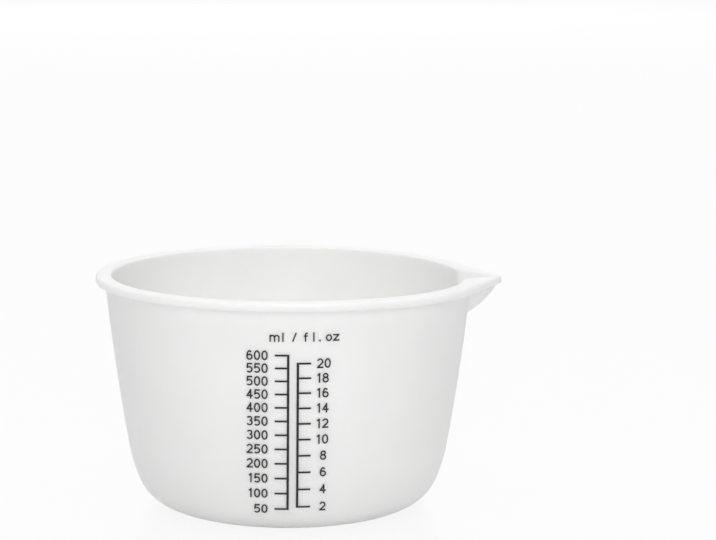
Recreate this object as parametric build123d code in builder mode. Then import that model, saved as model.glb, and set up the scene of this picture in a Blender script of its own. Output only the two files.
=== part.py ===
from build123d import *
from math import asin, atan2, cos, degrees, pi, radians, sin, sqrt
import os

os.makedirs("parts", exist_ok=True)

# Resin mixing cup in translucent silicone: a round tapered cup with a flanged rim,
# a pouring beak, a printed scale on the front and a moulded scale on the back.
# Millimetres, +Z up, origin at the centre of the resting face.
# The beak points to +X, the printed scale faces -Y, the moulded panel faces +Y.

# Outer wall: three arcs that run into each other, from the foot up to the rim
cup_height = 82.4
foot_radius = 39.7
corner_radius = 14.8
corner_turn = 67.4
belly_radius = 56.7
belly_turn = 13.0
wall_bow_radius = 819.0

# Shell
wall_thickness = 2.5
floor_thickness = 2.95
floor_corner_radius = 12.0

# Rim flange, whose top sinks a little towards the beak
rim_radius = 68.5
rim_offset = 0.5
rim_thickness = 2.8
rim_droop = 1.3
rim_edge_radius = 1.0
rim_inner_edge_radius = 0.6

# Pouring beak: a keel under the rim, with a channel in its top
beak_length = 7.4
beak_tip_radius = 1.8
keel_depth = 16.4
keel_bow_radius = 26.0
keel_half_angle = 41.0
keel_edge_radius = 1.6
channel_wall = 2.4
channel_floor_radius = 0.8
channel_mouth_radius = 2.0

# Scale marks: a millilitre is a cube of this edge
millilitre_edge = 10.0
ml_step = 50
ml_step_count = 12
fl_oz_step = 2
fl_oz_step_count = 10
ml_per_fl_oz = 28.413
fill_slices = 1500

# Scale layout, about the middle of the scale
spine_spacing = 3.2
spine_width = 0.8
tick_length = 4.4
tick_width = 0.62
ml_figures_gap = 2.3
fl_oz_figures_gap = 1.9

# Figures, drawn as strokes of one width
figure_height = 3.35
figure_width = 2.12
one_width = 1.5
figure_gap = 0.36
figure_stroke = 0.5

# Unit heading above the scale, with the place of each letter's middle along it
heading_letters = "ml/fl.oz"
heading_centre_shares = (0.072, 0.192, 0.357, 0.52, 0.636, 0.723, 0.854, 0.959)
heading_width = 22.9
heading_shift = 3.7
heading_rise = 4.7
heading_clearance = 2.0
ascender_height = 3.1
small_letter_height = 2.35
small_letter_width = 2.1
letter_m_width = 3.3
letter_f_width = 1.3
slash_lean = 1.5
letter_stroke = 0.46
dot_size = 0.6

# Ink and moulded relief
ink_thickness = 0.12
panel_width = 41.5
panel_rim_gap = 3.3
panel_foot_gap = 5.5
panel_corner_radius = 1.5
panel_step = 0.25
relief_height = 0.3

# One overrun for all cuts, and how deep an added form reaches into what carries it
overrun = 4.0
root_depth = 1.0

# Outer profile: centre of each arc, and the angles where they meet
corner_end = corner_turn - 90
belly_end = corner_end + belly_turn
corner_centre = Vector(foot_radius, corner_radius)
belly_centre = corner_centre - Vector(belly_radius - corner_radius, 0).rotate(Axis.Z, corner_end)
wall_centre = belly_centre - Vector(wall_bow_radius - belly_radius, 0).rotate(Axis.Z, belly_end)
wall_end = degrees(asin((cup_height - (rim_thickness + rim_droop) / 2 - wall_centre.Y) / wall_bow_radius))

# Inner profile: the floor corner rolls between the floor and the inner belly
inner_belly_radius = belly_radius - wall_thickness
inner_wall_radius = wall_bow_radius - wall_thickness
floor_corner_rise = floor_thickness + floor_corner_radius - belly_centre.Y
floor_corner_run = sqrt((inner_belly_radius - floor_corner_radius) ** 2 - floor_corner_rise**2)
floor_corner_centre = belly_centre + Vector(floor_corner_run, floor_corner_rise)
floor_corner_end = degrees(atan2(floor_corner_rise, floor_corner_run))
inner_wall_end = degrees(asin((cup_height + overrun - wall_centre.Y) / inner_wall_radius))

# Lowest point of the flange, for what stands under it
flange_bottom = cup_height - rim_droop - rim_thickness

# Plane to draw the moulded scale on, seen from behind the cup
back_plane = Plane(origin=(0, 0, 0), x_dir=(-1, 0, 0), z_dir=(0, 1, 0))


def outer_lines(outward):
    """Foot corner, belly and wall of the cup, moved outward by a distance"""
    corner = CenterArc(corner_centre, corner_radius + outward, -90, corner_turn)
    belly = CenterArc(belly_centre, belly_radius + outward, corner_end, belly_turn)
    wall = CenterArc(wall_centre, wall_bow_radius + outward, belly_end, wall_end - belly_end)
    return corner, belly, wall


def outer_radius(height):
    """Radius of the outer wall at a height on its top arc"""
    return wall_centre.X + sqrt(wall_bow_radius**2 - (height - wall_centre.Y) ** 2)


def inner_radius(height):
    """Radius of the cavity at a height above the resting face"""
    for centre, radius, end in (
        (floor_corner_centre, floor_corner_radius, floor_corner_end),
        (belly_centre, inner_belly_radius, belly_end),
        (wall_centre, inner_wall_radius, inner_wall_end),
    ):
        if height <= centre.Y + radius * sin(radians(end)):
            break
    return centre.X + sqrt(radius**2 - (height - centre.Y) ** 2)


def fill_heights(volumes):
    """Height of the liquid for each volume whose mark leaves room for the heading"""
    heading_room = heading_rise + ascender_height + heading_clearance
    slice_height = (flange_bottom - heading_room - floor_thickness) / fill_slices
    heights = []
    filled = 0
    for index in range(fill_slices):
        middle = floor_thickness + (index + 0.5) * slice_height
        slice_volume = pi * inner_radius(middle) ** 2 * slice_height
        while len(heights) < len(volumes) and volumes[len(heights)] <= filled + slice_volume:
            share = (volumes[len(heights)] - filled) / slice_volume
            heights.append(middle + (share - 0.5) * slice_height)
        filled += slice_volume
    return heights


# Marks: the number that each tick carries, and its height
ml_numbers = [ml_step * (n + 1) for n in range(ml_step_count)]
fl_oz_numbers = [fl_oz_step * (n + 1) for n in range(fl_oz_step_count)]
ml_heights = fill_heights([number * millilitre_edge**3 for number in ml_numbers])
fl_oz_heights = fill_heights([number * ml_per_fl_oz * millilitre_edge**3 for number in fl_oz_numbers])

# Tip of the beak, measured from the axis
beak_reach = rim_radius + beak_length

# Curved top of the rim: level on the far side, sinking along an arc towards the beak
droop_radius = (rim_radius**2 + rim_droop**2) / (2 * rim_droop)
droop_reach = beak_reach + overrun
droop_turn = degrees(asin(droop_reach / droop_radius))

# Beak: two flanks tangent to the rim circle, closed by a rounded tip
tip_reach = beak_reach - rim_offset
apex_reach = (tip_reach - beak_tip_radius) / (1 - beak_tip_radius / rim_radius)
flank_start = degrees(atan2(sqrt(apex_reach**2 - rim_radius**2), rim_radius))

# Strokes of each character, as shares of the width and height between its outer stroke lines
line_shares = {
    "1": [[(0.62, 0), (0.62, 1)], [(0.62, 1), (0.12, 0.86)]],
    "2": [[(0.9, 0.54), (0.1, 0.06)], [(0, 0), (1, 0)]],
    "4": [[(0.72, 0), (0.72, 1)], [(0.68, 0.95), (0.04, 0.3), (1, 0.3)]],
    "5": [[(0.92, 1), (0.14, 1), (0.05, 0.52)]],
    "7": [[(0, 1), (1, 1), (0.35, 0)]],
    "m": [
        [(0, 0), (0, 1)],
        [(0, 0.7), (0.14, 1), (0.37, 1), (0.5, 0.78), (0.5, 0)],
        [(0.5, 0.7), (0.64, 1), (0.87, 1), (1, 0.78), (1, 0)],
    ],
    "l": [[(0, 0), (0, 1)]],
    "/": [[(0, 0), (1, 1)]],
    "f": [[(0.4, 0), (0.4, 0.86), (0.6, 1), (1, 1)], [(0, 0.64), (1, 0.64)]],
    "z": [[(0, 1), (1, 1)], [(0.92, 0.94), (0.08, 0.06)], [(0, 0), (1, 0)]],
}
# Arcs: centre across and up, radius across and up, then start angle and angle swept
arc_shares = {
    "0": [(0.5, 0.5, 0.5, 0.5, 0, 360)],
    "2": [(0.5, 0.71, 0.5, 0.29, -35, 200)],
    "3": [(0.5, 0.77, 0.43, 0.23, -90, 250), (0.5, 0.27, 0.5, 0.27, -160, 250)],
    "5": [(0.46, 0.31, 0.54, 0.31, -140, 280)],
    "6": [(0.5, 0.29, 0.5, 0.71, 50, 130), (0.5, 0.29, 0.5, 0.29, 180, 340)],
    "8": [(0.5, 0.27, 0.5, 0.27, 0, 360), (0.5, 0.77, 0.43, 0.23, 0, 360)],
    "9": [(0.5, 0.71, 0.5, 0.71, 230, 130), (0.5, 0.71, 0.5, 0.29, 0, 340)],
    "o": [(0.5, 0.5, 0.5, 0.5, 0, 360)],
}


def draw_character(character, left, bottom, width, height, stroke):
    """Character in a box of this width and height, from its left bottom corner"""
    inner_width = width - stroke
    inner_height = height - stroke
    for points in line_shares.get(character, []):
        places = [
            Vector(left + stroke / 2 + across * inner_width, bottom + stroke / 2 + up * inner_height)
            for across, up in points
        ]
        # Both ends reach half a stroke further, as square ends
        first = places[0] + (places[0] - places[1]).normalized() * stroke / 2
        last = places[-1] + (places[-1] - places[-2]).normalized() * stroke / 2
        with BuildLine() as path:
            Polyline(first, *places[1:-1], last)
        trace(path.line, line_width=stroke)
    for across, up, wide, high, start, swept in arc_shares.get(character, []):
        middle = (left + stroke / 2 + across * inner_width, bottom + stroke / 2 + up * inner_height)
        with BuildLine() as path:
            EllipticalCenterArc(middle, wide * inner_width, high * inner_height, start, arc_size=swept)
        trace(path.line, line_width=stroke)
    if character == ".":
        with Locations((left + width / 2, bottom + height / 2)):
            Rectangle(width, height)


def draw_word(characters, widths, left, bottom, gap, height, stroke):
    """Row of characters from its left end"""
    for character, width in zip(characters, widths):
        draw_character(character, left, bottom, width, height, stroke)
        left += width + gap


def draw_number(number, height, side):
    """Number beside its tick: -1 for the millilitre side, 1 for the fluid ounce side"""
    figures = str(number)
    widths = [one_width if figure == "1" else figure_width for figure in figures]
    length = sum(widths) + figure_gap * (len(figures) - 1)
    tick_end = spine_spacing / 2 + tick_length
    if side < 0:
        left = -tick_end - ml_figures_gap - length
    elif len(figures) > 1:
        left = tick_end + fl_oz_figures_gap
    else:
        left = tick_end + fl_oz_figures_gap + (figure_width + figure_gap) / 2
    bottom = height - figure_height / 2
    draw_word(figures, widths, left, bottom, figure_gap, figure_height, figure_stroke)


def draw_ladder(side, heights):
    """Spine with a tick outward at each mark"""
    spine_x = side * spine_spacing / 2
    with Locations((spine_x, (heights[0] + heights[-1]) / 2)):
        Rectangle(spine_width, heights[-1] - heights[0] + tick_width)
    with Locations([(spine_x + side * tick_length / 2, height) for height in heights]):
        Rectangle(tick_length, tick_width)


# Width and height of each letter of the heading
letter_sizes = {
    "m": (letter_m_width, small_letter_height),
    "l": (letter_stroke, ascender_height),
    "/": (slash_lean, ascender_height),
    "f": (letter_f_width, ascender_height),
    ".": (dot_size, dot_size),
    "o": (small_letter_width, small_letter_height),
    "z": (small_letter_width, small_letter_height),
}
heading_left = heading_shift - heading_width / 2
heading_height = max(ml_heights[-1], fl_oz_heights[-1]) + heading_rise


def draw_heading(first, last):
    """Letters of the heading from a first to a last one"""
    for letter, centre_share in list(zip(heading_letters, heading_centre_shares))[first:last]:
        width, height = letter_sizes[letter]
        left = heading_left + centre_share * heading_width - width / 2
        draw_character(letter, left, heading_height, width, height, letter_stroke)


def wall_skin(inward, outward):
    """Layer along the outer wall, between two distances from it"""
    with BuildPart() as skin:
        with BuildSketch(Plane.XZ):
            with BuildLine():
                inner_curve = outer_lines(-inward)
                outer_curve = outer_lines(outward)
                Line(inner_curve[0] @ 0, outer_curve[0] @ 0)
                Line(inner_curve[-1] @ 1, outer_curve[-1] @ 1)
            make_face()
        revolve(axis=Axis.Z)
    return skin.part


# Keel: from the side its edge is an arc, from the wall to just under the tip
keel_foot = Vector(outer_radius(cup_height - keel_depth) - wall_thickness, cup_height - keel_depth)
keel_top = Vector(beak_reach, cup_height - rim_droop - rim_thickness / 2)
keel_chord = keel_top - keel_foot
keel_sag_distance = sqrt(keel_bow_radius**2 - (keel_chord.length / 2) ** 2)
keel_centre = (keel_foot + keel_top) / 2 + keel_chord.normalized().rotate(Axis.Z, 90) * keel_sag_distance
keel_start = degrees(atan2(keel_foot.Y - keel_centre.Y, keel_foot.X - keel_centre.X))
flank_direction = Vector(-cos(radians(keel_half_angle)), sin(radians(keel_half_angle)), 0)


def beak_form(inward, top, edge_radius):
    """Wedge under the beak: the edge arc drawn back at an angle to either side"""
    bow_radius = keel_bow_radius - inward
    turn = degrees(asin((top - keel_centre.Y) / bow_radius)) - keel_start
    with BuildPart() as form:
        for side in (1, -1):
            with BuildSketch(Plane.XZ):
                with BuildLine():
                    edge = CenterArc(keel_centre, bow_radius, keel_start, turn)
                    Polyline(edge @ 1, (0, top), (0, (edge @ 0).Y), edge @ 0)
                make_face()
            slant = Vector(flank_direction.X, flank_direction.Y * side, 0)
            mode = Mode.ADD if side == 1 else Mode.INTERSECT
            extrude(amount=droop_reach, dir=slant, both=True, mode=mode)
        fillet(form.edges().sort_by(Axis.X)[-1], edge_radius)
    return form.part


keel = beak_form(0, keel_top.Y, keel_edge_radius)
channel = beak_form(channel_wall, cup_height, channel_floor_radius)

with BuildPart() as rim:
    with BuildSketch(Plane.XY.offset(cup_height - rim_droop - rim_thickness - overrun)) as rim_outline:
        with BuildLine():
            rim_arc = CenterArc((rim_offset, 0), rim_radius, flank_start, 360 - 2 * flank_start)
            Polyline(rim_arc @ 1, (rim_offset + apex_reach, 0), rim_arc @ 0)
        make_face()
        fillet(rim_outline.vertices().sort_by(Axis.X)[-1], beak_tip_radius)
    extrude(amount=rim_droop + rim_thickness + 2 * overrun)
    # Between a top and an underside that both run level, then sink along an arc
    with BuildSketch(Plane.XZ):
        with BuildLine():
            top_level = Line((-droop_reach, cup_height), (0, cup_height))
            top_arc = CenterArc((0, cup_height - droop_radius), droop_radius, 90, -droop_turn)
            under_arc = CenterArc(top_arc.arc_center, droop_radius - rim_thickness, 90, -droop_turn)
            under_level = Line((0, cup_height - rim_thickness), (-droop_reach, cup_height - rim_thickness))
            Line(top_level @ 0, under_level @ 1)
            Line(top_arc @ 1, under_arc @ 1)
        make_face()
    extrude(amount=droop_reach, both=True, mode=Mode.INTERSECT)
    seams = rim.edges().filter_by(Axis.Y)
    sides = rim.edges().filter_by(Axis.Z)
    fillet(rim.edges() - seams - sides, rim_edge_radius)

with BuildPart() as core:
    with BuildSketch(Plane.XZ):
        with BuildLine():
            floor_corner = CenterArc(floor_corner_centre, floor_corner_radius, -90, floor_corner_end + 90)
            inner_belly = CenterArc(belly_centre, inner_belly_radius, floor_corner_end, belly_end - floor_corner_end)
            inner_wall = CenterArc(wall_centre, inner_wall_radius, belly_end, inner_wall_end - belly_end)
            Polyline(inner_wall @ 1, (0, (inner_wall @ 1).Y), (0, floor_thickness), floor_corner @ 0)
        make_face()
    revolve(axis=Axis.Z)
    add(channel)
    mouth = core.edges(Select.NEW).filter_by(
        lambda edge: edge.length > channel_mouth_radius and edge.bounding_box().max.X < wall_centre.X + wall_bow_radius
    )
    fillet(mouth, channel_mouth_radius)

# Panel on the back: a low step that follows the wall
panel_height = flange_bottom - panel_rim_gap - panel_foot_gap
panel_skin = wall_skin(root_depth, panel_step)

with BuildPart() as panel:
    with BuildSketch(back_plane):
        with Locations((0, panel_foot_gap + panel_height / 2)):
            RectangleRounded(panel_width, panel_height, panel_corner_radius)
    extrude(amount=rim_radius)
    add(panel_skin, mode=Mode.INTERSECT)

with BuildPart() as cup_body:
    with BuildSketch(Plane.XZ):
        with BuildLine():
            corner, belly, wall = outer_lines(0)
            Polyline(wall @ 1, (0, (wall @ 1).Y), (0, 0), corner @ 0)
        make_face()
    revolve(axis=Axis.Z)
    add(rim.part)
    add(keel)
    add(core.part, mode=Mode.SUBTRACT)
    # The brim's inner edge, round the cup and the channel
    brim_floor = flange_bottom + rim_thickness / 2
    brim = cup_body.edges(Select.NEW).filter_by(lambda edge: edge.bounding_box().min.Z > brim_floor)
    fillet(brim, rim_inner_edge_radius)
    add(panel.part)
cup_body.part.label = "cup_body"
export_step(cup_body.part, "parts/cup_body.step")

# The same scale, moulded in relief on the panel
relief_skin = wall_skin(panel_step, panel_step + relief_height)

with BuildPart() as moulded_scale:
    with BuildSketch(back_plane):
        draw_ladder(-1, ml_heights)
        draw_ladder(1, fl_oz_heights)
        for number, height in zip(ml_numbers, ml_heights):
            draw_number(number, height, -1)
        for number, height in zip(fl_oz_numbers, fl_oz_heights):
            draw_number(number, height, 1)
        draw_heading(0, len(heading_letters))
    extrude(amount=rim_radius)
    add(relief_skin, mode=Mode.INTERSECT)
moulded_scale.part.label = "moulded_scale"
export_step(moulded_scale.part, "parts/moulded_scale.step")

# Printed ink, one piece for each ladder, number and part of the heading
ink_skin = wall_skin(0, ink_thickness)

for name, side, heights in (("ml_ladder", -1, ml_heights), ("fl_oz_ladder", 1, fl_oz_heights)):
    with BuildPart() as ladder:
        with BuildSketch(Plane.XZ):
            draw_ladder(side, heights)
        extrude(amount=rim_radius)
        add(ink_skin, mode=Mode.INTERSECT)
    ladder.part.label = name
    export_step(ladder.part, f"parts/{name}.step")

for name, side, numbers, heights in (
    ("ml_numeral", -1, ml_numbers, ml_heights),
    ("fl_oz_numeral", 1, fl_oz_numbers, fl_oz_heights),
):
    for number, height in zip(numbers, heights):
        with BuildPart() as numeral:
            with BuildSketch(Plane.XZ):
                draw_number(number, height, side)
            extrude(amount=rim_radius)
            add(ink_skin, mode=Mode.INTERSECT)
        numeral.part.label = f"{name}_{number:03d}"
        export_step(numeral.part, f"parts/{name}_{number:03d}.step")

for name, first, last in (("heading_ml", 0, 2), ("heading_slash", 2, 3), ("heading_fl_oz", 3, 8)):
    with BuildPart() as heading:
        with BuildSketch(Plane.XZ):
            draw_heading(first, last)
        extrude(amount=rim_radius)
        add(ink_skin, mode=Mode.INTERSECT)
    heading.part.label = name
    export_step(heading.part, f"parts/{name}.step")
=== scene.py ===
"""Looks of a resin mixing cup: a milky silicone cup with a beak, a printed scale and a moulded one."""
from math import asin, atan2, cos, hypot, pi, radians, sin, sqrt

import bpy
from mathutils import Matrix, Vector


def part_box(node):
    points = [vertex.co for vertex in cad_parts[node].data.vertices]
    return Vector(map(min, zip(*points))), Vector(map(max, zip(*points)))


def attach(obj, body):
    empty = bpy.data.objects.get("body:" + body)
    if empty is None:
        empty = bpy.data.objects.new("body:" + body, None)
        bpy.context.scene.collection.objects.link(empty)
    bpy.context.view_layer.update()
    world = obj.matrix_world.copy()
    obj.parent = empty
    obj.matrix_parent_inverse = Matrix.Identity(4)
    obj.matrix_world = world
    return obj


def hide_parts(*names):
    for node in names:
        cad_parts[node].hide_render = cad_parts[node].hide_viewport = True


bl_info = {
    "name": "Resin Mixing Cup",
    "version": (1, 0, 0),
    "blender": (4, 5, 0),
    "location": "View3D > Sidebar > Mixing Cup",
    "description": "Builds a silicone resin mixing cup with its scales, on a white studio floor",
    "category": "Object",
}

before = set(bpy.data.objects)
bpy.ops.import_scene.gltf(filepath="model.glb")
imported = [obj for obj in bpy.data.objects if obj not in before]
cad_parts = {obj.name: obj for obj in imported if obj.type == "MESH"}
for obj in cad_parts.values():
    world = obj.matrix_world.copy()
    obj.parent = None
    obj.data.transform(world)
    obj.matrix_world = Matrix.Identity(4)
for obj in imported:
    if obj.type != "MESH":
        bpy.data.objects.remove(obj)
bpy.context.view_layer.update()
cup_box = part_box("cup_body")

# Curves of the wall, from the foot up: a corner, a belly and a nearly straight wall
CORNER_RADIUS = 0.0148
CORNER_TURN = radians(67.4)
BELLY_RADIUS = 0.0567
BELLY_TURN = radians(13.0)
WALL_BOW_RADIUS = 0.819
FLOOR_CORNER_RADIUS = 0.012

# Rim and beak
RIM_OFFSET = 0.0005
RIM_EDGE_RADIUS = 0.001
RIM_INNER_EDGE_RADIUS = 0.0006
BEAK_TIP_RADIUS = 0.0018
KEEL_DEPTH = 0.0164
KEEL_BOW_RADIUS = 0.026
KEEL_HALF_ANGLE = radians(41)
KEEL_EDGE_RADIUS = 0.0016
KEEL_BLEND = 0.0014
CHANNEL_WALL = 0.0024
CHANNEL_FLOOR_RADIUS = 0.0008
CHANNEL_BLEND = 0.002
SHAPED_DEPTH = 0.020

# How finely the surface is divided
FOOT_RING_SHARES = (0, 0.5, 0.9, 1)
CORNER_STEPS = 10
BELLY_STEPS = 6
WALL_STEPS = 14
SHAPED_STEPS = 50
EDGE_STEPS = 5
FLAT_STEPS = 3
SETTLING_ROUNDS = 4
START_SIZE = 0.001
# Sectors of the turn, from beside the beak: degrees, and steps in each
SPIN_SECTORS = ((18, 36), (6, 40), (18, 36), (318, 159))
BEAK_SECTOR = radians(42)
MERGE_DISTANCE = 1e-6
SMOOTH_ANGLE = radians(38)

# Moulded panel on the back
PANEL_CORNER_RADIUS = 0.0015
PANEL_CORNER_STEPS = 6
PANEL_COLUMNS = 28
PANEL_ROWS = 44
PANEL_ROOT = 0.0008
PANEL_EDGE_RADIUS = 0.0001
PANEL_EDGE_STEPS = 2
ROUND_PROFILE = 0.5

# Camera: the photograph's frame, and the view that matches it
IMAGE_WIDTH = 716
IMAGE_HEIGHT = 540
AXIS_PX = 288.05
AIM_PX = 375.44
SENSOR_WIDTH = 36.0
LENS = 112.5
AIM_HEIGHT = 0.045
CAMERA_DISTANCE = 0.8
CAMERA_ELEVATION = radians(11.41)
CAMERA_TURN = radians(1.5)

# Lamps: name, distance, elevation and azimuth in degrees, size in metres, watts, mirrored or not
LAMPS = (
    ("front_softbox", 1.3, 25, 0, 0.6, 5.0, True),
    ("back_softbox", 5.0, 20, 180, 2.6, 90.0, False),
    ("top_softbox", 1.2, 85, 0, 1.2, 6.5, True),
)

# Silicone: how far light soaks in, clouds in it, and the satin skin
SILICONE_IOR = 1.41
SOAK_SHARE = 1.0
SOAK_COLOUR_SPREAD = (1.0, 1.0, 1.0)
SOAK_DEPTH = 0.004
RELIEF_SOAK_DEPTH = 0.0022
CLOUD_SCALE = 28.0
CLOUD_SHARES = (0.35, 0.65)
SKIN_SCALE = 90.0
SKIN_ROUGHNESS = (0.34, 0.46)
GRAIN_SCALE = 1400.0
GRAIN_STRENGTH = 0.05
GRAIN_DEPTH = 0.0002
SOFT_DETAIL = 2.0
RICH_DETAIL = 3.0

# Ink: matt, and paler where it is thin
INK_SPECULAR = 0.3
THIN_INK_SCALE = 900.0
THIN_INK_GAIN = 2.5
INK_SKIN_SCALE = 600.0
INK_ROUGHNESS = (0.5, 0.65)

# Floor: just under the foot, with a faint mirror image and shadow
FLOOR_SIZE = 12.0
FLOOR_GAP = 0.00005
FLOOR_WHITE = (0.93, 0.93, 0.93, 1)
FLOOR_ROUGHNESS = 0.6
MIRROR_ROUGHNESS = 0.12
MIRROR_SHARE = 0.08
SHADOW_SHARE = 0.04

# Rays that see the floor and the surroundings as plain white
SEEN_RAYS = ("Is Camera Ray", "Is Glossy Ray", "Is Transmission Ray")
WHITE = (1, 1, 1, 1)
WHITE_STRENGTH = 1.0


class CupSizes(bpy.types.PropertyGroup):
    height: bpy.props.FloatProperty(
        name="Height", description="Foot to the top of the rim", default=cup_box[1].z, unit="LENGTH"
    )
    foot_radius: bpy.props.FloatProperty(
        name="Foot radius", description="Flat ring that the cup stands on", default=0.0397, unit="LENGTH"
    )
    wall: bpy.props.FloatProperty(
        name="Wall", description="Thickness of the wall", default=0.0025, unit="LENGTH"
    )
    floor: bpy.props.FloatProperty(
        name="Floor", description="Thickness of the floor", default=0.00295, unit="LENGTH"
    )
    rim_radius: bpy.props.FloatProperty(
        name="Rim radius", description="Outer edge of the flange", default=cup_box[1].y, unit="LENGTH"
    )
    rim_thickness: bpy.props.FloatProperty(
        name="Rim thickness", description="Thickness of the flange", default=0.0028, unit="LENGTH"
    )
    rim_droop: bpy.props.FloatProperty(
        name="Rim droop", description="How far the rim sinks at the beak", default=0.0013, unit="LENGTH"
    )
    beak_reach: bpy.props.FloatProperty(
        name="Beak reach", description="Axis to the tip of the beak", default=cup_box[1].x, unit="LENGTH"
    )
    panel_width: bpy.props.FloatProperty(
        name="Panel width", description="Moulded panel on the back", default=0.0415, unit="LENGTH"
    )
    panel_bottom: bpy.props.FloatProperty(
        name="Panel bottom", description="Height of its lower edge", default=0.0055, unit="LENGTH"
    )
    panel_top: bpy.props.FloatProperty(
        name="Panel top", description="Height of its upper edge", default=0.075, unit="LENGTH"
    )
    panel_step: bpy.props.FloatProperty(
        name="Panel step", description="How far it stands off the wall", default=0.00025, unit="LENGTH"
    )


class CupLooks(bpy.types.PropertyGroup):
    silicone: bpy.props.FloatVectorProperty(
        name="Silicone", description="Milky white of the silicone", default=(0.9, 0.9, 0.895),
        subtype="COLOR", size=3, min=0, max=1
    )
    cloud: bpy.props.FloatVectorProperty(
        name="Cloud", description="Slightly greyer clouds in the silicone", default=(0.87, 0.87, 0.865),
        subtype="COLOR", size=3, min=0, max=1
    )
    ink: bpy.props.FloatVectorProperty(
        name="Ink", description="Printed black", default=(0.012, 0.012, 0.013),
        subtype="COLOR", size=3, min=0, max=1
    )
    fill_level: bpy.props.FloatProperty(
        name="Fill level", description="Even light from all round", default=0.35, min=0
    )


class CupShape:
    """Surface of the cup as formulas: radii at a height and an angle from the beak"""

    def __init__(self, sizes):
        self.sizes = sizes
        self.top = sizes.height
        self.under = sizes.height - sizes.rim_thickness
        self.shaped_from = sizes.height - SHAPED_DEPTH
        self.brim = sizes.height - RIM_INNER_EDGE_RADIUS
        self.corner_end = CORNER_TURN - pi / 2
        self.belly_end = self.corner_end + BELLY_TURN
        self.corner = Vector((sizes.foot_radius, CORNER_RADIUS))
        self.belly = self.corner - self.arm(BELLY_RADIUS - CORNER_RADIUS, self.corner_end)
        self.wall = self.belly - self.arm(WALL_BOW_RADIUS - BELLY_RADIUS, self.belly_end)
        self.inner_belly_radius = BELLY_RADIUS - sizes.wall
        self.inner_wall_radius = WALL_BOW_RADIUS - sizes.wall
        self.brim_radius = self.inner_radius(self.brim)
        rise = sizes.floor + FLOOR_CORNER_RADIUS - self.belly.y
        run = sqrt((self.inner_belly_radius - FLOOR_CORNER_RADIUS) ** 2 - rise**2)
        self.floor_corner = self.belly + Vector((run, rise))
        self.floor_corner_end = atan2(rise, run)
        self.droop_radius = (sizes.rim_radius**2 + sizes.rim_droop**2) / (2 * sizes.rim_droop)
        # Flanks of the beak run straight from the rim circle to an apex that the tip rounds off
        reach = sizes.beak_reach - RIM_OFFSET
        apex = (reach - BEAK_TIP_RADIUS) / (1 - BEAK_TIP_RADIUS / sizes.rim_radius)
        self.beak_half_angle = asin(sizes.rim_radius / apex)
        self.beak_apex = RIM_OFFSET + apex
        # Arc of the keel's edge, from the inner wall to the tip
        foot = Vector((self.outer_radius(self.top - KEEL_DEPTH) - sizes.wall, self.top - KEEL_DEPTH))
        tip = Vector((sizes.beak_reach, self.top - sizes.rim_droop - sizes.rim_thickness / 2))
        chord = tip - foot
        sag_distance = sqrt(KEEL_BOW_RADIUS**2 - (chord.length / 2) ** 2)
        self.keel = (foot + tip) / 2 + Vector((-chord.y, chord.x)).normalized() * sag_distance

    @staticmethod
    def arm(length, angle):
        return Vector((length * cos(angle), length * sin(angle)))

    @staticmethod
    def on_arc(centre, radius, height):
        return centre.x + sqrt(radius**2 - (height - centre.y) ** 2)

    def outer_radius(self, height):
        return self.on_arc(self.wall, WALL_BOW_RADIUS, height)

    def inner_radius(self, height):
        return self.on_arc(self.wall, self.inner_wall_radius, height)

    def droop(self, x):
        """How far the rim sinks at a distance towards the beak"""
        if x <= 0:
            return 0
        return self.droop_radius - sqrt(self.droop_radius**2 - x**2)

    @staticmethod
    def wedge(apex, half_angle, edge_radius, angle):
        """Distance from the axis to a wedge with a rounded edge, seen from above"""
        centre = apex - edge_radius / sin(half_angle)
        touch = atan2(edge_radius * cos(half_angle), centre + edge_radius * sin(half_angle))
        if abs(angle) < touch:
            return centre * cos(angle) + sqrt(edge_radius**2 - (centre * sin(angle)) ** 2)
        return apex * sin(half_angle) / sin(half_angle + abs(angle))

    @staticmethod
    def blend(a, b, width):
        """The larger of two radii, with a soft change from one to the other"""
        near = max(width - abs(a - b), 0)
        return max(a, b) + near**2 / (4 * width)

    def beak_radius(self, base, height, angle, inward, edge_radius, width):
        """Wall that swells out into the keel, or the cavity into the channel"""
        bow = KEEL_BOW_RADIUS - inward
        below = height - self.keel.y
        if abs(angle) > BEAK_SECTOR / 2 or abs(below) >= bow:
            return base
        apex = self.keel.x + sqrt(bow**2 - below**2)
        return self.blend(base, self.wedge(apex, KEEL_HALF_ANGLE, edge_radius, angle), width)

    def outside(self, height, angle):
        return self.beak_radius(self.outer_radius(height), height, angle, 0, KEEL_EDGE_RADIUS, KEEL_BLEND)

    def inside(self, height, angle):
        base = self.inner_radius(height)
        return self.beak_radius(base, height, angle, CHANNEL_WALL, CHANNEL_FLOOR_RADIUS, CHANNEL_BLEND)

    def rim(self, angle):
        """Outline of the flange: a circle with the beak drawn out of it"""
        radius = self.sizes.rim_radius
        circle = RIM_OFFSET * cos(angle) + sqrt(radius**2 - (RIM_OFFSET * sin(angle)) ** 2)
        touch_angle = pi / 2 - self.beak_half_angle
        touch = atan2(radius * sin(touch_angle), RIM_OFFSET + radius * cos(touch_angle))
        if abs(angle) >= touch:
            return circle
        return self.wedge(self.beak_apex, self.beak_half_angle, BEAK_TIP_RADIUS, angle)

    def settle(self, surface, height, angle, weight):
        """Point of a wall that sinks with the rim, which rests on it"""
        drop = 0
        for _ in range(SETTLING_ROUNDS):
            radius = surface(height - drop * weight, angle)
            drop = self.droop(radius * cos(angle))
        return radius, height - drop * weight

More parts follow.
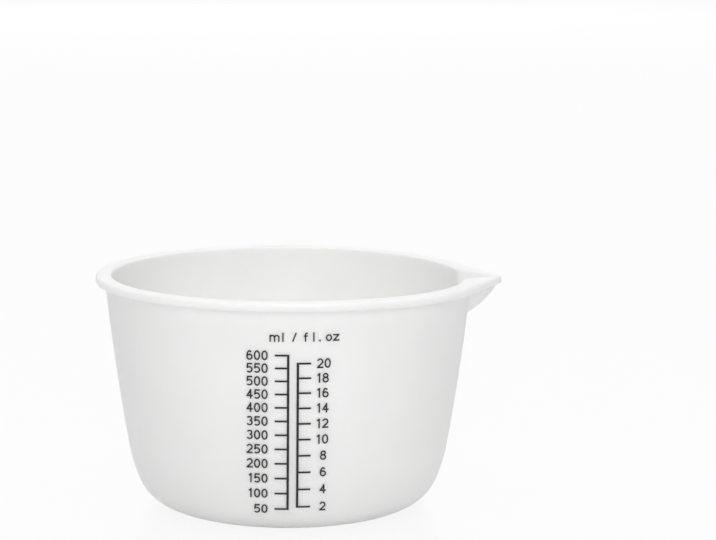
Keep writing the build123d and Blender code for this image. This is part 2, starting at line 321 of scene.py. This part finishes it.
    def profile(self):
        """Half section of the cup, from the middle of the foot round the rim to the floor"""
        points = [(share * self.sizes.foot_radius, 0) for share in FOOT_RING_SHARES]
        points += self.arc(self.corner, CORNER_RADIUS, -pi / 2, self.corner_end, CORNER_STEPS)
        points += self.arc(self.belly, BELLY_RADIUS, self.corner_end, self.belly_end, BELLY_STEPS)
        start = points[-1][1]
        heights = self.steps(start, self.shaped_from, WALL_STEPS)
        heights += self.steps(self.shaped_from, self.under, SHAPED_STEPS)
        points += [(self.outer_radius(z), z) for z in heights]
        edge = self.sizes.rim_radius - RIM_EDGE_RADIUS
        points += [(r, self.under) for r in self.steps(points[-1][0], edge, FLAT_STEPS)]
        low_centre = Vector((edge, self.under + RIM_EDGE_RADIUS))
        high_centre = Vector((edge, self.top - RIM_EDGE_RADIUS))
        points += self.arc(low_centre, RIM_EDGE_RADIUS, -pi / 2, 0, EDGE_STEPS)
        points.append((self.sizes.rim_radius, high_centre.y))
        points += self.arc(high_centre, RIM_EDGE_RADIUS, 0, pi / 2, EDGE_STEPS)
        brim_centre = Vector((self.brim_radius + RIM_INNER_EDGE_RADIUS, self.brim))
        points += [(r, self.top) for r in self.steps(edge, brim_centre.x, 2 * FLAT_STEPS)]
        points += self.arc(brim_centre, RIM_INNER_EDGE_RADIUS, pi / 2, pi, EDGE_STEPS)
        inner_start = self.belly.y + self.inner_belly_radius * sin(self.belly_end)
        heights = self.steps(self.brim, self.shaped_from, SHAPED_STEPS)
        heights += self.steps(self.shaped_from, inner_start, WALL_STEPS)
        points += [(self.inner_radius(z), z) for z in heights]
        points += self.arc(
            self.belly, self.inner_belly_radius, self.belly_end, self.floor_corner_end, BELLY_STEPS
        )
        points += self.arc(
            self.floor_corner, FLOOR_CORNER_RADIUS, self.floor_corner_end, -pi / 2, CORNER_STEPS
        )
        points += [(share * self.floor_corner.x, self.sizes.floor) for share in FOOT_RING_SHARES[-2::-1]]
        return points

    @staticmethod
    def steps(start, end, count):
        return [start + (end - start) * (n + 1) / count for n in range(count)]

    def arc(self, centre, radius, start, end, count):
        return [tuple(centre + self.arm(radius, angle)) for angle in self.steps(start, end, count)]

    def place(self, point):
        """Moves a point of the plain turned cup to where the beak and the sinking rim have it"""
        radius = hypot(point.x, point.y)
        angle = atan2(point.y, point.x)
        height = point.z
        if height <= self.shaped_from:
            return point
        outer = self.outer_radius(min(height, self.under))
        middle = self.top - self.sizes.rim_thickness / 2
        inner_side = radius < self.brim_radius + MERGE_DISTANCE and height <= self.brim + MERGE_DISTANCE
        if inner_side:
            weight = (height - self.shaped_from) / (self.brim - self.shaped_from)
            radius, height = self.settle(self.inside, height, angle, weight)
        elif height <= self.under + MERGE_DISTANCE and radius <= outer + MERGE_DISTANCE:
            weight = (height - self.shaped_from) / (self.under - self.shaped_from)
            radius, height = self.settle(self.outside, height, angle, weight)
        else:
            if height > middle:
                start = self.brim_radius
                kept = RIM_INNER_EDGE_RADIUS
                start_now = self.settle(self.inside, self.brim, angle, 1)[0]
            else:
                start = self.outer_radius(self.under)
                kept = 0
                start_now = self.settle(self.outside, self.under, angle, 1)[0]
            end = self.sizes.rim_radius - RIM_EDGE_RADIUS
            end_now = self.rim(angle) - RIM_EDGE_RADIUS
            if radius >= end - MERGE_DISTANCE:
                radius += end_now - end
            elif radius <= start + kept + MERGE_DISTANCE:
                radius += start_now - start
            else:
                share = (radius - start - kept) / (end - start - kept)
                radius = start_now + kept + share * (end_now - start_now - kept)
            height -= self.droop(radius * cos(angle))
        return Vector((radius * cos(angle), radius * sin(angle), height))


def deselect():
    if bpy.context.object and bpy.context.object.mode != "OBJECT":
        bpy.ops.object.mode_set(mode="OBJECT")
    bpy.ops.object.select_all(action="DESELECT")


def apply_modifiers(piece):
    for modifier in list(piece.modifiers):
        bpy.ops.object.modifier_apply(modifier=modifier.name)


def finish_piece(piece, name, material):
    """Name, finish and body of a piece that is in place"""
    piece.name = name
    piece.data.name = name
    piece.data.materials.clear()
    piece.data.materials.append(material)
    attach(piece, "root")


def new_material(name):
    material = bpy.data.materials.new(name)
    material.use_nodes = True
    return material, material.node_tree.nodes, material.node_tree.links


def object_noise(nodes, links, scale, detail):
    """Noise in the cup's own space"""
    place = nodes.new("ShaderNodeTexCoord")
    noise = nodes.new("ShaderNodeTexNoise")
    noise.inputs["Scale"].default_value = scale
    noise.inputs["Detail"].default_value = detail
    links.new(place.outputs["Object"], noise.inputs["Vector"])
    return noise.outputs["Fac"]


def rough_between(nodes, links, limits, scale, shader):
    """Roughness that changes softly between two limits"""
    rough = nodes.new("ShaderNodeMapRange")
    rough.inputs["To Min"].default_value, rough.inputs["To Max"].default_value = limits
    links.new(object_noise(nodes, links, scale, SOFT_DETAIL), rough.inputs["Value"])
    links.new(rough.outputs["Result"], shader.inputs["Roughness"])


def any_ray(nodes, links, *kinds):
    """One for rays of these kinds, else zero"""
    path = nodes.new("ShaderNodeLightPath")
    chosen = path.outputs[kinds[0]]
    for kind in kinds[1:]:
        either = nodes.new("ShaderNodeMath")
        either.operation = "MAXIMUM"
        links.new(chosen, either.inputs[0])
        links.new(path.outputs[kind], either.inputs[1])
        chosen = either.outputs["Value"]
    return chosen


def mix_shaders(nodes, links, first, second):
    """Mix of two shaders, whose share is still to be set"""
    mix = nodes.new("ShaderNodeMixShader")
    links.new(first, mix.inputs[1])
    links.new(second, mix.inputs[2])
    return mix


def silicone_material(looks, name="milky_silicone"):
    """Milky silicone: light soaks through the wall, with faint clouds and a satin skin"""
    material = bpy.data.materials.get(name)
    if material:
        return material
    material, nodes, links = new_material(name)
    shader = nodes["Principled BSDF"]
    shader.inputs["Subsurface Weight"].default_value = SOAK_SHARE
    shader.inputs["Subsurface Radius"].default_value = SOAK_COLOUR_SPREAD
    shader.inputs["Subsurface Scale"].default_value = SOAK_DEPTH
    shader.inputs["IOR"].default_value = SILICONE_IOR
    clouds = nodes.new("ShaderNodeValToRGB")
    for stop, share, colour in zip(clouds.color_ramp.elements, CLOUD_SHARES, (looks.cloud, looks.silicone)):
        stop.position = share
        stop.color = (*colour, 1)
    links.new(object_noise(nodes, links, CLOUD_SCALE, RICH_DETAIL), clouds.inputs["Fac"])
    links.new(clouds.outputs["Color"], shader.inputs["Base Color"])
    rough_between(nodes, links, SKIN_ROUGHNESS, SKIN_SCALE, shader)
    bump = nodes.new("ShaderNodeBump")
    bump.inputs["Strength"].default_value = GRAIN_STRENGTH
    bump.inputs["Distance"].default_value = GRAIN_DEPTH
    links.new(object_noise(nodes, links, GRAIN_SCALE, SOFT_DETAIL), bump.inputs["Height"])
    links.new(bump.outputs["Normal"], shader.inputs["Normal"])
    return material


def relief_material(looks):
    """Silicone moulded on in one piece with the wall, so that light passes it into the wall"""
    material = bpy.data.materials.get("relief_silicone")
    if material:
        return material
    material = silicone_material(looks, "relief_silicone")
    nodes = material.node_tree.nodes
    links = material.node_tree.links
    shader = nodes["Principled BSDF"]
    shader.inputs["Subsurface Scale"].default_value = RELIEF_SOAK_DEPTH
    clear = nodes.new("ShaderNodeBsdfTransparent")
    mix = mix_shaders(nodes, links, shader.outputs["BSDF"], clear.outputs["BSDF"])
    links.new(any_ray(nodes, links, "Is Shadow Ray", "Is Diffuse Ray"), mix.inputs["Fac"])
    links.new(mix.outputs["Shader"], nodes["Material Output"].inputs["Surface"])
    return material


def ink_material(looks):
    """Matt black ink, a little thin in places"""
    material = bpy.data.materials.get("printed_ink")
    if material:
        return material
    material, nodes, links = new_material("printed_ink")
    shader = nodes["Principled BSDF"]
    shader.inputs["Specular IOR Level"].default_value = INK_SPECULAR
    ramp = nodes.new("ShaderNodeValToRGB")
    ramp.color_ramp.elements[0].color = (*looks.ink, 1)
    ramp.color_ramp.elements[1].color = (*(channel * THIN_INK_GAIN for channel in looks.ink), 1)
    links.new(object_noise(nodes, links, THIN_INK_SCALE, RICH_DETAIL), ramp.inputs["Fac"])
    links.new(ramp.outputs["Color"], shader.inputs["Base Color"])
    rough_between(nodes, links, INK_ROUGHNESS, INK_SKIN_SCALE, shader)
    return material


class MIXINGCUP_OT_add_shell(bpy.types.Operator):
    """Turn the cup from its half section and draw the beak out of it"""
    bl_idname = "mixingcup.add_shell"
    bl_label = "Add Cup Shell"

    def execute(self, context):
        shape = CupShape(context.scene.mixingcup_sizes)
        first_angle = BEAK_SECTOR / 2
        across = Vector((cos(first_angle), sin(first_angle), 0))
        deselect()
        bpy.ops.mesh.primitive_plane_add(size=START_SIZE, location=(0, 0, 0))
        shell = context.object
        bpy.ops.object.mode_set(mode="EDIT")
        bpy.ops.mesh.select_all(action="SELECT")
        bpy.ops.mesh.merge(type="CENTER")
        here = Vector((0, 0, 0))
        for radius, height in shape.profile()[1:]:
            there = across * radius + Vector((0, 0, height))
            bpy.ops.mesh.extrude_region_move(TRANSFORM_OT_translate={"value": there - here})
            here = there
        bpy.ops.mesh.select_all(action="SELECT")
        for sector, steps in SPIN_SECTORS:
            bpy.ops.mesh.spin(steps=steps, angle=radians(sector), center=(0, 0, 0), axis=(0, 0, 1))
        bpy.ops.mesh.select_all(action="SELECT")
        bpy.ops.mesh.remove_doubles(threshold=MERGE_DISTANCE)
        bpy.ops.mesh.normals_make_consistent(inside=False)
        bpy.ops.object.mode_set(mode="OBJECT")
        for vertex in shell.data.vertices:
            vertex.co = shape.place(vertex.co)
        bpy.ops.object.shade_smooth_by_angle(angle=SMOOTH_ANGLE)
        finish_piece(shell, "cup_shell", silicone_material(context.scene.mixingcup_looks))
        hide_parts("cup_body")
        return {"FINISHED"}


class MIXINGCUP_OT_add_back_panel(bpy.types.Operator):
    """Wrap the low moulded panel onto the back of the shell and make it one with the wall"""
    bl_idname = "mixingcup.add_back_panel"
    bl_label = "Add Back Panel"

    def execute(self, context):
        sizes = context.scene.mixingcup_sizes
        width = sizes.panel_width
        height = sizes.panel_top - sizes.panel_bottom
        middle = (sizes.panel_top + sizes.panel_bottom) / 2
        distance = sizes.rim_radius
        deselect()
        bpy.ops.mesh.primitive_plane_add(size=1, location=(0, distance, middle), rotation=(pi / 2, 0, pi))
        panel = context.object
        shell = bpy.data.objects["cup_shell"]
        panel.scale = (width, height, 1)
        bpy.ops.object.transform_apply(location=True, rotation=True, scale=True)
        bpy.ops.object.mode_set(mode="EDIT")
        bpy.ops.mesh.select_all(action="SELECT")
        bpy.ops.mesh.bevel(
            affect="VERTICES", offset=PANEL_CORNER_RADIUS, segments=PANEL_CORNER_STEPS, profile=ROUND_PROFILE
        )
        for column in range(1, PANEL_COLUMNS):
            bpy.ops.mesh.select_all(action="SELECT")
            x = width * (column / PANEL_COLUMNS - 0.5)
            bpy.ops.mesh.bisect(plane_co=(x, 0, 0), plane_no=(1, 0, 0))
        for row in range(1, PANEL_ROWS):
            bpy.ops.mesh.select_all(action="SELECT")
            z = sizes.panel_bottom + height * row / PANEL_ROWS
            bpy.ops.mesh.bisect(plane_co=(0, 0, z), plane_no=(0, 0, 1))
        bpy.ops.object.mode_set(mode="OBJECT")
        wrap = panel.modifiers.new("wrap", "SHRINKWRAP")
        wrap.target = shell
        wrap.wrap_method = "PROJECT"
        wrap.use_project_y = True
        wrap.use_negative_direction = True
        wrap.use_positive_direction = False
        thick = panel.modifiers.new("thick", "SOLIDIFY")
        thick.thickness = sizes.panel_step + PANEL_ROOT
        thick.offset = (sizes.panel_step - PANEL_ROOT) / thick.thickness
        thick.use_even_offset = True
        soften = panel.modifiers.new("soften", "BEVEL")
        soften.width = PANEL_EDGE_RADIUS
        soften.segments = PANEL_EDGE_STEPS
        soften.limit_method = "ANGLE"
        apply_modifiers(panel)
        deselect()
        context.view_layer.objects.active = shell
        shell.select_set(True)
        union = shell.modifiers.new("union", "BOOLEAN")
        union.operation = "UNION"
        union.solver = "EXACT"
        union.object = panel
        apply_modifiers(shell)
        bpy.data.objects.remove(panel)
        bpy.ops.object.shade_smooth_by_angle(angle=SMOOTH_ANGLE)
        return {"FINISHED"}


class MIXINGCUP_OT_finish_scales(bpy.types.Operator):
    """Give the printed scale its ink and the moulded one its silicone"""
    bl_idname = "mixingcup.finish_scales"
    bl_label = "Finish Scales"

    def execute(self, context):
        looks = context.scene.mixingcup_looks
        for name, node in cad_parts.items():
            if name == "cup_body":
                continue
            finish = relief_material(looks) if name == "moulded_scale" else ink_material(looks)
            node.data.materials.clear()
            node.data.materials.append(finish)
        return {"FINISHED"}


def studio_floor_material():
    """White floor with a faint mirror image and shadow, plain to all other light"""
    material, nodes, links = new_material("studio_floor")
    plain = nodes["Principled BSDF"]
    plain.inputs["Base Color"].default_value = FLOOR_WHITE
    plain.inputs["Roughness"].default_value = FLOOR_ROUGHNESS
    glow = nodes.new("ShaderNodeEmission")
    glow.inputs["Strength"].default_value = WHITE_STRENGTH
    mirror = nodes.new("ShaderNodeBsdfGlossy")
    mirror.inputs["Roughness"].default_value = MIRROR_ROUGHNESS
    mirrored = mix_shaders(nodes, links, glow.outputs["Emission"], mirror.outputs["BSDF"])
    mirrored.inputs["Fac"].default_value = MIRROR_SHARE
    shaded = mix_shaders(nodes, links, mirrored.outputs["Shader"], plain.outputs["BSDF"])
    shaded.inputs["Fac"].default_value = SHADOW_SHARE
    choice = mix_shaders(nodes, links, plain.outputs["BSDF"], shaded.outputs["Shader"])
    links.new(any_ray(nodes, links, *SEEN_RAYS), choice.inputs["Fac"])
    links.new(choice.outputs["Shader"], nodes["Material Output"].inputs["Surface"])
    return material


class MIXINGCUP_OT_add_stage(bpy.types.Operator):
    """Set up the white floor, the soft lamps, the surroundings and the camera"""
    bl_idname = "mixingcup.add_stage"
    bl_label = "Add Stage"

    def execute(self, context):
        scene = context.scene
        deselect()
        bpy.ops.mesh.primitive_plane_add(size=FLOOR_SIZE, location=(0, 0, -FLOOR_GAP))
        floor = context.object
        floor.name = "studio_floor"
        floor.data.materials.append(studio_floor_material())
        for name, distance, elevation, azimuth, size, power, mirrored in LAMPS:
            place = self.around(distance, radians(elevation), radians(azimuth))
            bpy.ops.object.light_add(type="AREA", location=place)
            lamp = context.object
            lamp.name = name
            lamp.data.shape = "DISK"
            lamp.data.size = size
            lamp.data.energy = power
            lamp.visible_camera = False
            lamp.visible_glossy = mirrored
            lamp.rotation_euler = (Vector((0, 0, AIM_HEIGHT)) - place).to_track_quat("-Z", "Y").to_euler()
        self.surround(scene)
        self.place_camera(scene)
        scene.view_settings.view_transform = "Standard"
        return {"FINISHED"}

    @staticmethod
    def around(distance, elevation, azimuth):
        return Vector((
            distance * cos(elevation) * sin(azimuth),
            -distance * cos(elevation) * cos(azimuth),
            AIM_HEIGHT + distance * sin(elevation),
        ))

    @staticmethod
    def surround(scene):
        """White to the camera and in reflections, a little less as light"""
        world = bpy.data.worlds.new("studio_white")
        scene.world = world
        world.use_nodes = True
        nodes = world.node_tree.nodes
        links = world.node_tree.links
        strength = nodes.new("ShaderNodeMapRange")
        strength.inputs["To Min"].default_value = scene.mixingcup_looks.fill_level
        strength.inputs["To Max"].default_value = WHITE_STRENGTH
        links.new(any_ray(nodes, links, *SEEN_RAYS), strength.inputs["Value"])
        background = nodes["Background"]
        background.inputs["Color"].default_value = WHITE
        links.new(strength.outputs["Result"], background.inputs["Strength"])

    def place_camera(self, scene):
        place = self.around(CAMERA_DISTANCE, CAMERA_ELEVATION, -CAMERA_TURN)
        bpy.ops.object.camera_add(location=place, rotation=(pi / 2 - CAMERA_ELEVATION, 0, -CAMERA_TURN))
        camera = bpy.context.object
        camera.data.sensor_width = SENSOR_WIDTH
        camera.data.lens = LENS
        camera.data.shift_x = (IMAGE_WIDTH / 2 - AXIS_PX) / IMAGE_WIDTH
        camera.data.shift_y = (AIM_PX - IMAGE_HEIGHT / 2) / IMAGE_WIDTH
        scene.camera = camera


class MIXINGCUP_PT_panel(bpy.types.Panel):
    """Sizes, looks and pieces of the mixing cup"""
    bl_idname = "MIXINGCUP_PT_panel"
    bl_label = "Mixing Cup"
    bl_space_type = "VIEW_3D"
    bl_region_type = "UI"
    bl_category = "Mixing Cup"

    def draw(self, context):
        for group in (context.scene.mixingcup_sizes, context.scene.mixingcup_looks):
            column = self.layout.column()
            for name in group.__annotations__:
                column.prop(group, name)
        for operator in OPERATORS:
            self.layout.operator(operator.bl_idname)


OPERATORS = (
    MIXINGCUP_OT_add_shell,
    MIXINGCUP_OT_add_back_panel,
    MIXINGCUP_OT_finish_scales,
    MIXINGCUP_OT_add_stage,
)
CLASSES = (CupSizes, CupLooks, *OPERATORS, MIXINGCUP_PT_panel)


def register():
    for cls in CLASSES:
        bpy.utils.register_class(cls)
    bpy.types.Scene.mixingcup_sizes = bpy.props.PointerProperty(type=CupSizes)
    bpy.types.Scene.mixingcup_looks = bpy.props.PointerProperty(type=CupLooks)


def unregister():
    del bpy.types.Scene.mixingcup_looks
    del bpy.types.Scene.mixingcup_sizes
    for cls in reversed(CLASSES):
        bpy.utils.unregister_class(cls)


def main():
    register()
    bpy.ops.mixingcup.add_shell()
    bpy.ops.mixingcup.add_back_panel()
    bpy.ops.mixingcup.finish_scales()
    bpy.ops.mixingcup.add_stage()


if __name__ == "__main__":
    main()
